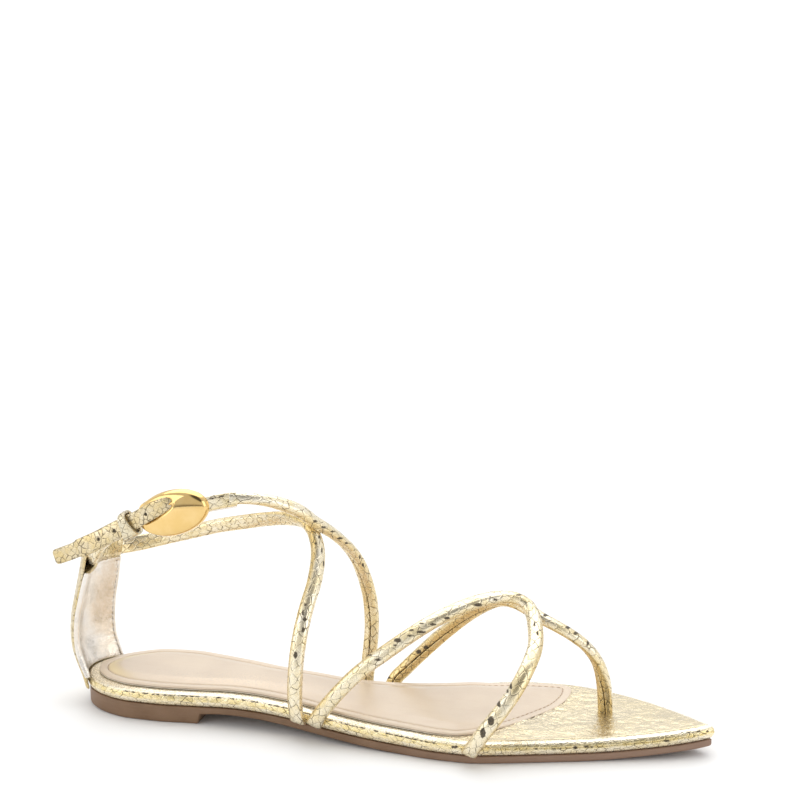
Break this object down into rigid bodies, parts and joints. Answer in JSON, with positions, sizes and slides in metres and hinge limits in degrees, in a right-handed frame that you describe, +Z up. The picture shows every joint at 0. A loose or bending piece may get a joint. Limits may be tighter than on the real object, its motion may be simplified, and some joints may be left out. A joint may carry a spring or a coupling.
{
  "type": "gladiator sandal",
  "caption": "Flat pointed-toe gladiator sandal with rolled crossing straps, toe thong, heel counter and buckled ankle strap.",
  "frame": {"origin": "middle of the shoe's box in plan, on the ground under the sole", "axes": "+X from the heel to the toe tip, +Y to the inner (medial) side, +Z up"},
  "size_m": [0.2696, 0.0834, 0.1004],
  "materials": {
    "outsole": "satin",
    "foil_leather": "metallic foil with fine crackle",
    "sock_leather": "smooth semi-gloss",
    "buckle_metal": "polished"
  },
  "bodies": {
    "root": {"outsole": "outsole", "midsole": "foil_leather", "insole": "sock_leather", "heel_counter": "foil_leather", "ankle_straps": "foil_leather", "forefoot_straps": "foil_leather", "strap_keeper": "foil_leather", "buckle_frame": "buckle_metal"}
  },
  "joints": []
}
